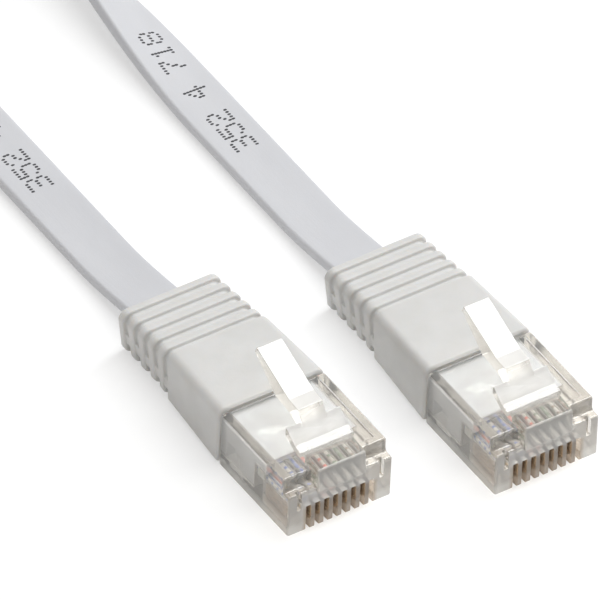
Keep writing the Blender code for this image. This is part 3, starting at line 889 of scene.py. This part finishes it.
def printed_marks(plug, face_name, face):
    """Dots on one face of a half of the jacket; face is 1 for the top side and -1 for the underside."""
    axes = path_axes(half_path(plug, JACKET_START), plug)
    distances = travelled(axes)
    rng = np.random.default_rng(PRINT_SEED)
    form = bmesh.new()
    for along, across in print_dots():
        point, side, normal = station_at(axes, distances, along)
        heading = normal.cross(side).normalized()
        centre = point + side * (across * face) + normal * (face * JACKET_THICKNESS / 2)
        add_dot(form, centre, side, heading, normal * face, rng)
    form.transform(to_frame(plug))
    made = mesh_object(f"print_{face_name}_{plug}", form, INK)
    made.data.shade_smooth()
    bend_with_leg(made)


# ---- plug ----------------------------------------------------------------------

def root_block(name, plug, material=None):
    """Block above the nose that the latch springs from."""
    return prism(name, rounded_outline(ROOT_OUTLINE, 0.26), -ROOT_HALF_WIDTH, ROOT_HALF_WIDTH, plug, material,
                 edge=0.18)


def housing_skin(plug):
    """Solid body, tail and root block, without any opening."""
    outline = rounded_outline([(0.0, 0.0), (BODY_END, 0.0), (BODY_END, PLUG_HEIGHT), (NOSE_STEP, PLUG_HEIGHT),
                               (NOSE_STEP, NOSE_HEIGHT), (0.0, NOSE_HEIGHT)], 0.34)
    half = PLUG_WIDTH / 2
    body = prism(f"housing_{plug}", outline, -half, half, plug, CLEAR[plug], edge=0.3)
    half = TAIL_WIDTH / 2
    tail = box("tail", (-half, BODY_END - TAIL_OVERLAP, TAIL_LOW), (half, TAIL_END, TAIL_HIGH), plug,
               CLEAR[plug], edge=0.2)
    combine(body, [tail, root_block("root", plug, CLEAR[plug])], "UNION")
    return body


def panel_cutter(plug):
    """Shallow panel in the top face, stopping at the root block."""
    half = PANEL_WIDTH / 2
    panel = box("panel", (-half, PANEL_START, PLUG_HEIGHT - PANEL_DEPTH),
                (half, BODY_END + PAST, PLUG_HEIGHT + PANEL_CUT_HEIGHT), plug, edge=0.12)
    combine(panel, [root_block("root_keep", plug)], "DIFFERENCE")
    return panel


def cavity_cutters(plug):
    """Room for the inner mould, and the crimp window below it."""
    half = CAVITY_WIDTH / 2
    cavity = box("cavity", (-half, CAVITY_START, CAVITY_LOW), (half, TAIL_END + PAST, CAVITY_HIGH), plug,
                 edge=0.25)
    lip = box("lip", (-half, LIP_START, LIP_LOW), (half, CAVITY_START + LIP_OVERLAP, CAVITY_HIGH), plug,
              edge=0.15)
    crimp = box("crimp", (-CRIMP_HALF_WIDTH, CRIMP_START, -PAST),
                (CRIMP_HALF_WIDTH, CRIMP_END, CAVITY_LOW + PAST), plug, edge=0.1)
    return [cavity, lip, crimp]


def nose_cutters(plug):
    """Wire channels, contact slots and the two grooves down the nose."""
    cutters = []
    length = CAVITY_START + PAST - CHANNEL_START
    for number in range(1, CONTACT_COUNT + 1):
        x = lane(number, CONTACT_PITCH)
        cutters.append(rod(f"channel_{number}", (x, CHANNEL_START + length / 2, WIRE_LEVEL), CHANNEL_RADIUS,
                           length, plug))
        cutters.append(box(f"slot_{number}", (x - SLOT_WIDTH / 2, -PAST, -PAST),
                           (x + SLOT_WIDTH / 2, SLOT_END, SLOT_TOP), plug))
    for side in (-1, 1):
        middle = side * GROOVE_X
        cutters.append(box(f"groove_{side}", (middle - GROOVE_WIDTH / 2, -PAST, GROOVE_LOW),
                           (middle + GROOVE_WIDTH / 2, GROOVE_DEPTH, NOSE_HEIGHT + PAST), plug, edge=0.1))
    return cutters


def housing(plug):
    """Clear body: one skin outside, wire channels, contact slots and the mould's cavity inside."""
    body = housing_skin(plug)
    combine(body, [panel_cutter(plug), *cavity_cutters(plug), *nose_cutters(plug)], "DIFFERENCE")
    smooth(body, CLEAR_SHARP_ANGLE)
    finish_piece(body, f"plug_{plug}", "clear_plastic", f"plug_housing_{plug}")


def latch(plug):
    """Wide locking plate and narrow lever in one piece, all edges rounded."""
    plate = prism(f"clear_latch_{plug}", rounded_outline(PLATE_OUTLINE, 0.14), -PLATE_HALF_WIDTH,
                  PLATE_HALF_WIDTH, plug, CLEAR[plug], edge=0.12)
    lever = prism("lever", rounded_outline(LEVER_OUTLINE, 0.2, 4), -LEVER_HALF_WIDTH, LEVER_HALF_WIDTH,
                  plug, CLEAR[plug], edge=0.14)
    combine(plate, [lever], "UNION")
    smooth(plate, CLEAR_SHARP_ANGLE)
    finish_piece(plate, f"latch_{plug}", "clear_plastic", f"latch_{plug}")


def latch_web(plug):
    """Thin living hinge between the root block and the locking plate."""
    half = LATCH_WEB_HALF_WIDTH
    corners = ((-half, LATCH_WEB_LOW), (half, LATCH_WEB_LOW), (half, LATCH_WEB_HIGH), (-half, LATCH_WEB_HIGH))
    form = bmesh.new()
    rings = []
    for step in range(LATCH_WEB_STEPS + 1):
        y = mix(LATCH_WEB_START, LATCH_WEB_END, step / LATCH_WEB_STEPS)
        rings.append([form.verts.new((x, y, z)) for x, z in corners])
    for first, second in zip(rings, rings[1:]):
        bridge(form, first, second)
    form.faces.new(rings[0])
    form.faces.new(rings[-1])
    form.transform(to_frame(plug))
    made = mesh_object(f"latch_web_{plug}", form, CLEAR[plug])
    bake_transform(made)


def contacts(plug):
    for number in range(1, CONTACT_COUNT + 1):
        x = lane(number, CONTACT_PITCH)
        made = prism(f"blade_{plug}{number}", rounded_outline(BLADE_OUTLINE, 0.16),
                     x - BLADE_THICKNESS / 2, x + BLADE_THICKNESS / 2, plug, GOLD, edge=0.05)
        smooth(made)
        finish_piece(made, f"plug_{plug}", "contact_gold", f"contact_{plug}{number}")


def load_bar(plug):
    half = BAR_WIDTH / 2
    made = box(f"wire_bar_{plug}", (-half, BAR_START, BAR_LOW), (half, BAR_END, BAR_HIGH), plug,
               BAR_MILKY, edge=0.1)
    middle = (BAR_START + BAR_END) / 2
    holes = [rod(f"hole_{number}", (lane(number, CONTACT_PITCH), middle, WIRE_LEVEL), BAR_HOLE_RADIUS,
                 BAR_CUT_LENGTH, plug) for number in range(1, CONTACT_COUNT + 1)]
    combine(made, holes, "DIFFERENCE")
    smooth(made)
    finish_piece(made, f"plug_{plug}", "bar_plastic", f"load_bar_{plug}")


def passage(plug, start, end):
    """Solid that follows one leg of the jacket with a small gap all round."""
    stations = [leg_point(plug, mix(start, end, step / PASSAGE_STEPS)) for step in range(PASSAGE_STEPS + 1)]
    axes = path_axes([*stations, leg_point(plug, end + PAST)], plug)[:-1]
    return tube("passage", axes, jacket_section(PASSAGE_GAP), None, plug, None)


def inner_mould(plug):
    """White block that holds the jacket's end, open for the fan of wires and notched on both sides."""
    half = MOULD_WIDTH / 2
    made = box(f"white_mould_{plug}", (-half, MOULD_START, MOULD_LOW), (half, MOULD_END, MOULD_HIGH), plug,
               MOULD_WHITE, edge=0.2)
    lip = box("mould_lip", (-half, MOULD_LIP_START, MOULD_LIP_LOW),
              (half, MOULD_START + LIP_OVERLAP, MOULD_HIGH), plug, MOULD_WHITE, edge=0.15)
    combine(made, [lip], "UNION")
    fan = box("fan", (-FAN_WIDTH / 2, MOULD_START - PAST, FAN_LOW), (FAN_WIDTH / 2, FAN_END, FAN_HIGH),
              plug, edge=0.1)
    notches = []
    for side in (-1, 1):
        near, far = sorted((side * NOTCH_INNER, side * (half + PAST)))
        notches.append(box(f"notch_{side}", (near, NOTCH_START, MOULD_LOW - PAST),
                           (far, CRIMP_END, NOTCH_HIGH), plug, edge=0.1))
    combine(made, [fan, *notches, passage(plug, *MOULD_PASSAGE)], "DIFFERENCE")
    smooth(made)
    finish_piece(made, f"plug_{plug}", "mould_plastic", f"inner_mould_{plug}")


# ---- boot ----------------------------------------------------------------------

def boot_size(y):
    """Half width, bottom and top of the boot's skin at a distance behind the nose."""
    if y <= SLEEVE_END:
        share = (y - BOOT_START) / (SLEEVE_END - BOOT_START)
        return (mix(HALF_WIDTH_FRONT, HALF_WIDTH_SLEEVE, share), mix(0.0, BOTTOM_SLEEVE, share),
                mix(TOP_FRONT, TOP_SLEEVE, share))
    share = (y - SLEEVE_END) / (BOOT_END - SLEEVE_END)
    return (mix(HALF_WIDTH_SLEEVE, HALF_WIDTH_REAR, share), mix(BOTTOM_SLEEVE, BOTTOM_REAR, share),
            mix(TOP_FIRST_RIB, TOP_REAR, share))


def boot_profile():
    """(distance behind the nose, inset) along the boot, with every rib edge rounded."""
    corners = [(BOOT_START, BOOT_LIP), (BOOT_START + BOOT_LIP, 0.0), (SLEEVE_END, 0.0)]
    pitch = (BOOT_END - SLEEVE_END) / RIB_COUNT
    for rib in range(RIB_COUNT):
        rear = SLEEVE_END + (rib + 1) * pitch
        corners += [(rear - pitch + RIB_LEAN, RIB_DEPTH), (rear - RIB_LENGTH - RIB_LEAN, RIB_DEPTH),
                    (rear - RIB_LENGTH, 0.0), (rear, 0.0)]
    corners.append((BOOT_END + 0.01, RIB_DEPTH))
    points = [Vector(corner) for corner in corners]
    profile = [points[0]]
    for before, corner, after in zip(points, points[1:], points[2:]):
        profile += arc_corner(before, corner, after, RIB_FILLET, RIB_FILLET_STEPS)
    return profile


def web_share(y, z):
    """How much of the small web between two ribs stands at this place, from 0 to 1."""
    if not SLEEVE_END < y < BOOT_END - RIB_LENGTH / 2:
        return 0.0
    return smoothstep(WEB_LOW - WEB_FADE, WEB_LOW, z) * (1.0 - smoothstep(WEB_HIGH, WEB_HIGH + WEB_FADE, z))


def corner_point(corner, angle):
    x, z, radius = corner
    return Vector((x + radius * math.cos(angle), z + radius * math.sin(angle)))


def rounded_ring(corners):
    """(x, z) points round four corners, each an (x, z, radius), with even steps along the sides."""
    points = []
    for index, corner in enumerate(corners):
        for step in range(CORNER_STEPS + 1):
            points.append(corner_point(corner, math.pi / 2 * (index + step / CORNER_STEPS)))
        last = points[-1]
        target = corner_point(corners[(index + 1) % len(corners)], math.pi / 2 * (index + 1))
        points += [last.lerp(target, step / SIDE_STEPS) for step in range(1, SIDE_STEPS)]
    return points


def boot_ring(y, inset):
    """Rounded rectangle set in from the skin, except where the webs fill the groove."""
    half, low, high = boot_size(y)
    top, bottom = (RIB_CORNER_TOP, RIB_CORNER_BOTTOM) if y > SLEEVE_END else (CORNER_TOP, CORNER_BOTTOM)
    half -= inset
    low += inset
    high -= inset
    foot = half - RIB_DRAFT * smoothstep(SLEEVE_END - DRAFT_REACH, SLEEVE_END + DRAFT_REACH, y)
    corners = ((half - top, high - top, top), (top - half, high - top, top),
               (bottom - foot, low + bottom, bottom), (foot - bottom, low + bottom, bottom))
    ring = []
    for x, z in rounded_ring(corners):
        if abs(x) > foot - WEB_REACH and inset > WEB_INSET:
            x += math.copysign((inset - WEB_INSET) * web_share(y, z), x)
        ring.append((x, y, z))
    return ring


def boot(plug):
    """Ribbed strain relief, hollow for the housing's tail and the jacket."""
    form = bmesh.new()
    rings = [[form.verts.new(point) for point in boot_ring(y, inset)] for y, inset in boot_profile()]
    for first, second in zip(rings, rings[1:]):
        bridge(form, first, second)
    form.faces.new(rings[0])
    form.faces.new(rings[-1])
    form.transform(to_frame(plug))
    made = mesh_object(f"relief_boot_{plug}", form, BOOT_PVC)
    half = TAIL_WIDTH / 2 + SOCKET_GAP
    socket = box("socket", (-half, BOOT_START - SOCKET_START, TAIL_LOW - SOCKET_GAP),
                 (half, TAIL_END + SOCKET_GAP, TAIL_HIGH + SOCKET_GAP), plug, edge=0.15)
    combine(made, [socket, passage(plug, *BOOT_PASSAGE)], "DIFFERENCE")
    made.data.shade_smooth()
    made.data.set_sharp_from_angle(angle=math.radians(BOOT_SHARP_ANGLE))
    finish_piece(made, f"plug_{plug}", "boot_plastic", f"boot_{plug}")


# ---- studio --------------------------------------------------------------------

def floor():
    """Pale table: a little brighter to the camera and through the clear plastic than it lights the object."""
    bpy.ops.mesh.primitive_plane_add(size=FLOOR_SIZE, location=(0.0, 0.0, -FLOOR_DROP))
    made = bpy.context.object
    made.name = "floor"
    shader = Shader("floor_white")
    light = shader.node("ShaderNodeLightPath")
    cloud = shader.noise(60.0, 2.0)
    paper = shader.colours(cloud, (0.84, 0.84, 0.84), (0.88, 0.88, 0.88))
    seen = shader.node("ShaderNodeMix", data_type="RGBA")
    shader.join(light.outputs["Is Camera Ray"], seen.inputs["Factor"])
    shader.join(paper, seen.inputs["A"])
    shader.join(shader.colours(cloud, (0.5, 0.5, 0.5), (0.53, 0.53, 0.53)), seen.inputs["B"])
    shader.join(seen.outputs["Result"], shader.surface.inputs["Base Color"])
    shader.set(Roughness=0.9, Specular_IOR_Level=0.1, Emission_Color=(1.0, 1.0, 1.0, 1.0))
    through = shader.ramp(light.outputs["Is Transmission Ray"], 0.0, 1.0, 0.1, 0.4)
    direct = shader.ramp(light.outputs["Is Camera Ray"], 0.0, 1.0, 0.0, 0.42)
    shader.join(shader.maths("ADD", through, direct), shader.surface.inputs["Emission Strength"])
    made.data.materials.append(shader.material)


def softbox():
    """Oblong area light that faces the object from above, its length along Y."""
    data = bpy.data.lights.new("key", "AREA")
    data.shape = "RECTANGLE"
    data.size = KEY_WIDTH
    data.size_y = KEY_LENGTH
    data.energy = KEY_RADIANCE * math.pi * KEY_WIDTH * KEY_LENGTH
    data.color = KEY_COLOUR
    made = bpy.data.objects.new("key", data)
    bpy.context.scene.collection.objects.link(made)
    made.location = Vector(KEY_DIRECTION).normalized() * KEY_DISTANCE
    made.rotation_mode = "QUATERNION"
    made.rotation_quaternion = (-made.location).to_track_quat("-Z", "Y")


def world():
    """Even pale sky, brighter where it is seen directly or through the clear plastic."""
    made = bpy.data.worlds.new("studio")
    bpy.context.scene.world = made
    made.use_nodes = True
    tree = made.node_tree
    sky = tree.nodes["Background"]
    light = tree.nodes.new("ShaderNodeLightPath")
    through = tree.nodes.new("ShaderNodeMapRange")
    through.inputs["To Min"].default_value = SKY_STRENGTH
    through.inputs["To Max"].default_value = SKY_SEEN_THROUGH
    tree.links.new(light.outputs["Is Transmission Ray"], through.inputs["Value"])
    direct = tree.nodes.new("ShaderNodeMapRange")
    direct.inputs["To Max"].default_value = SKY_SEEN
    tree.links.new(through.outputs["Result"], direct.inputs["To Min"])
    tree.links.new(light.outputs["Is Camera Ray"], direct.inputs["Value"])
    tree.links.new(direct.outputs["Result"], sky.inputs["Strength"])
    sky.inputs["Color"].default_value = SKY_COLOUR


def camera():
    """Long lens at the viewing angle: round to -X, above the table, and rolled a little."""
    azimuth = math.radians(CAMERA_AZIMUTH)
    elevation = math.radians(CAMERA_ELEVATION)
    roll = math.radians(CAMERA_ROLL)
    data = bpy.data.cameras.new("camera")
    data.sensor_width = 36.0
    data.lens = CAMERA_LENS
    data.clip_start = 0.1
    data.clip_end = 20.0
    made = bpy.data.objects.new("camera", data)
    bpy.context.scene.collection.objects.link(made)
    back = Vector((math.sin(azimuth) * math.cos(elevation), -math.cos(azimuth) * math.cos(elevation),
                   math.sin(elevation)))
    level = Vector((math.cos(azimuth), math.sin(azimuth), 0.0))
    upward = back.cross(level)
    right = level * math.cos(roll) - upward * math.sin(roll)
    up = level * math.sin(roll) + upward * math.cos(roll)
    aim = ORIGINS["a"] + right * CAMERA_AIM[0] + up * CAMERA_AIM[1]
    turned = Matrix((right, up, back)).transposed().to_4x4()
    made.matrix_world = Matrix.Translation((aim + back * CAMERA_DISTANCE) * MM) @ turned
    bpy.context.scene.camera = made


for plug_name in PLUGS:
    jacket(plug_name)
    conductors(plug_name)
    printed_marks(plug_name, "top", 1)
    printed_marks(plug_name, "under", -1)
    housing(plug_name)
    latch(plug_name)
    latch_web(plug_name)
    contacts(plug_name)
    load_bar(plug_name)
    inner_mould(plug_name)
    boot(plug_name)
floor()
softbox()
world()
camera()
bpy.context.scene.view_settings.view_transform = "Standard"
